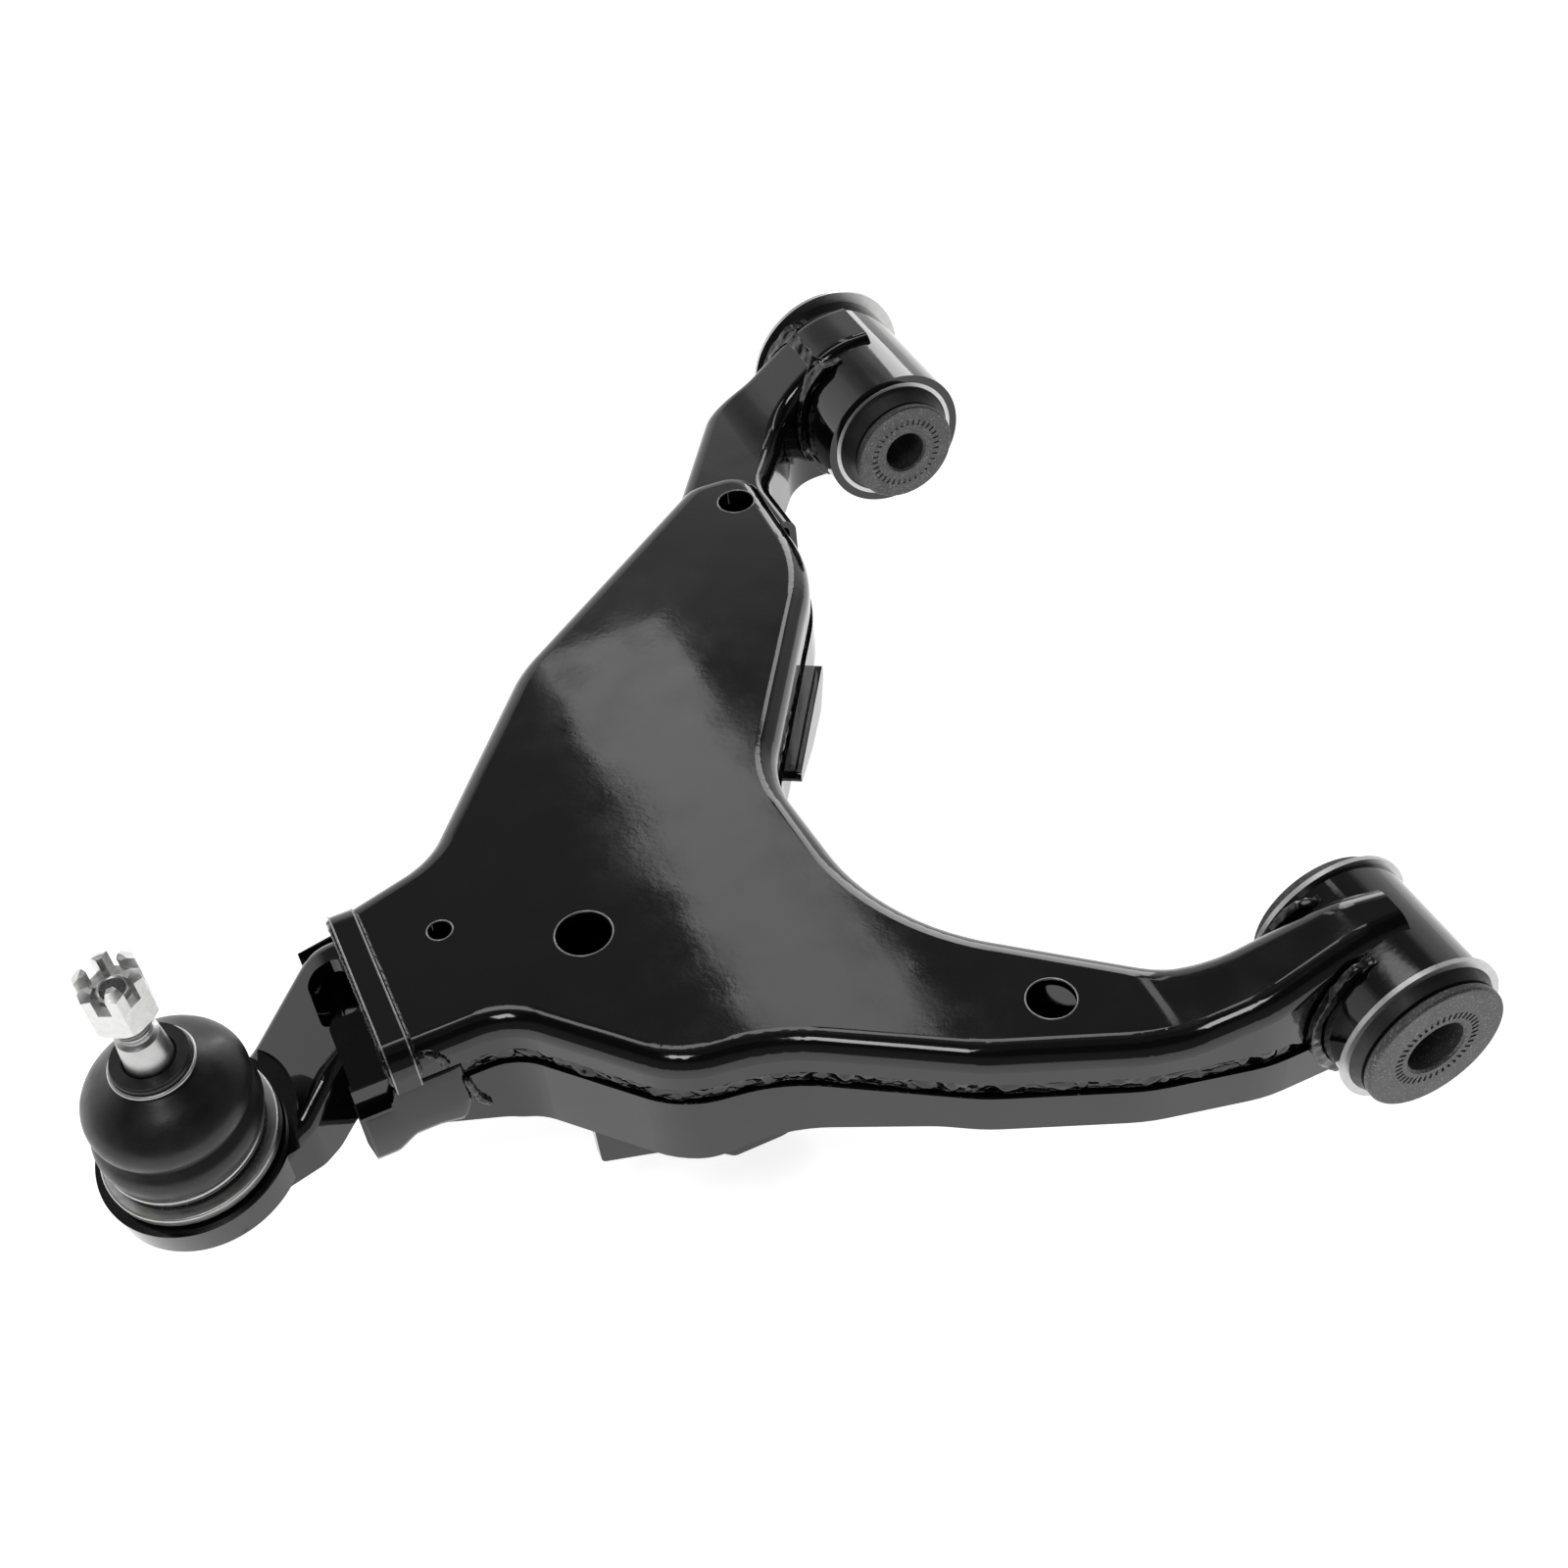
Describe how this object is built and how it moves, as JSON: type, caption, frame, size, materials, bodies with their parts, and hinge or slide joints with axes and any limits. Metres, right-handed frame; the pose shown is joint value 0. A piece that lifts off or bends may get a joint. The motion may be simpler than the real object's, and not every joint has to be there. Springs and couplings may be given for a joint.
{
  "type": "suspension control arm",
  "caption": "Welded lower suspension control arm with two pivot bushes, a sealed ball joint with a castle nut, and a damper bracket underneath.",
  "frame": {"origin": "centre of the rear bush, on the pivot axis", "axes": "+Y along the pivot axis towards the front bush, -X towards the ball joint, +Z the side the ball stud stands out of"},
  "size_m": [0.5022, 0.524, 0.1903],
  "materials": {
    "black_paint": "glossy black chassis paint",
    "bush_rubber": "moulded, slightly shiny",
    "boot_rubber": "satin",
    "bare_steel": "turned steel",
    "phosphated_steel": "dark grey phosphate",
    "zinc_plate": "bright zinc plate",
    "bearing_plastic": "natural acetal"
  },
  "bodies": {
    "arm": {"upper_shell": "black_paint", "lower_shell": "black_paint", "shell_seam_weld": "black_paint", "front_leg_upper": "black_paint", "front_leg_lower": "black_paint", "mouth_band": "black_paint", "mouth_tab": "black_paint", "ball_joint_carrier": "black_paint", "ball_housing": "phosphated_steel", "housing_ring": "bare_steel", "housing_cover": "phosphated_steel", "bearing_shell": "bearing_plastic", "preload_spring": "bare_steel", "boot_lower_ring": "bare_steel", "dust_boot": "boot_rubber", "rear_eye_tube": "black_paint", "front_eye_tube": "black_paint", "rear_eye_weld": "black_paint", "front_eye_weld": "black_paint", "rear_bush_outer_sleeve": "bare_steel", "front_bush_outer_sleeve": "bare_steel", "rear_bush_rubber": "bush_rubber", "front_bush_rubber": "bush_rubber", "damper_ear_near": "black_paint", "damper_ear_far": "black_paint", "damper_bracket_web": "black_paint", "side_gusset": "black_paint"},
    "rear_sleeve": {"rear_inner_sleeve": "phosphated_steel"},
    "front_sleeve": {"front_inner_sleeve": "phosphated_steel"},
    "liner": {"ball_liner": "bearing_plastic"},
    "collar": {"boot_collar": "boot_rubber", "boot_upper_clip": "bare_steel"},
    "stud": {"ball_stud": "bare_steel", "castle_nut": "zinc_plate"}
  },
  "joints": [
    {"name": "rear_bush_twist", "type": "hinge", "parent": "arm", "child": "rear_sleeve", "pos_m": [0, 0, 0], "axis": [0, 1, 0], "range_deg": [-25, 25], "stiffness_Nm_per_rad": 60},
    {"name": "front_bush_twist", "type": "hinge", "parent": "arm", "child": "front_sleeve", "pos_m": [0, 0.436, 0], "axis": [0, 1, 0], "range_deg": [-25, 25], "stiffness_Nm_per_rad": 60},
    {"name": "ball_tilt_x", "type": "hinge", "parent": "arm", "child": "liner", "pos_m": [-0.422, 0.158, -0.026], "axis": [1, 0, 0], "range_deg": [-18, 18], "deforming": ["dust_boot"]},
    {"name": "ball_tilt_y", "type": "hinge", "parent": "liner", "child": "collar", "pos_m": [-0.422, 0.158, -0.026], "axis": [0, 1, 0], "range_deg": [-18, 18]},
    {"name": "stud_spin", "type": "hinge", "parent": "collar", "child": "stud", "pos_m": [-0.422, 0.158, -0.026], "axis": [-0.0209, -0.0558, 0.9982], "continuous": true}
  ],
  "couplings": [
    {"joint": "rear_bush_twist", "follows": "front_bush_twist", "ratio": 1}
  ]
}
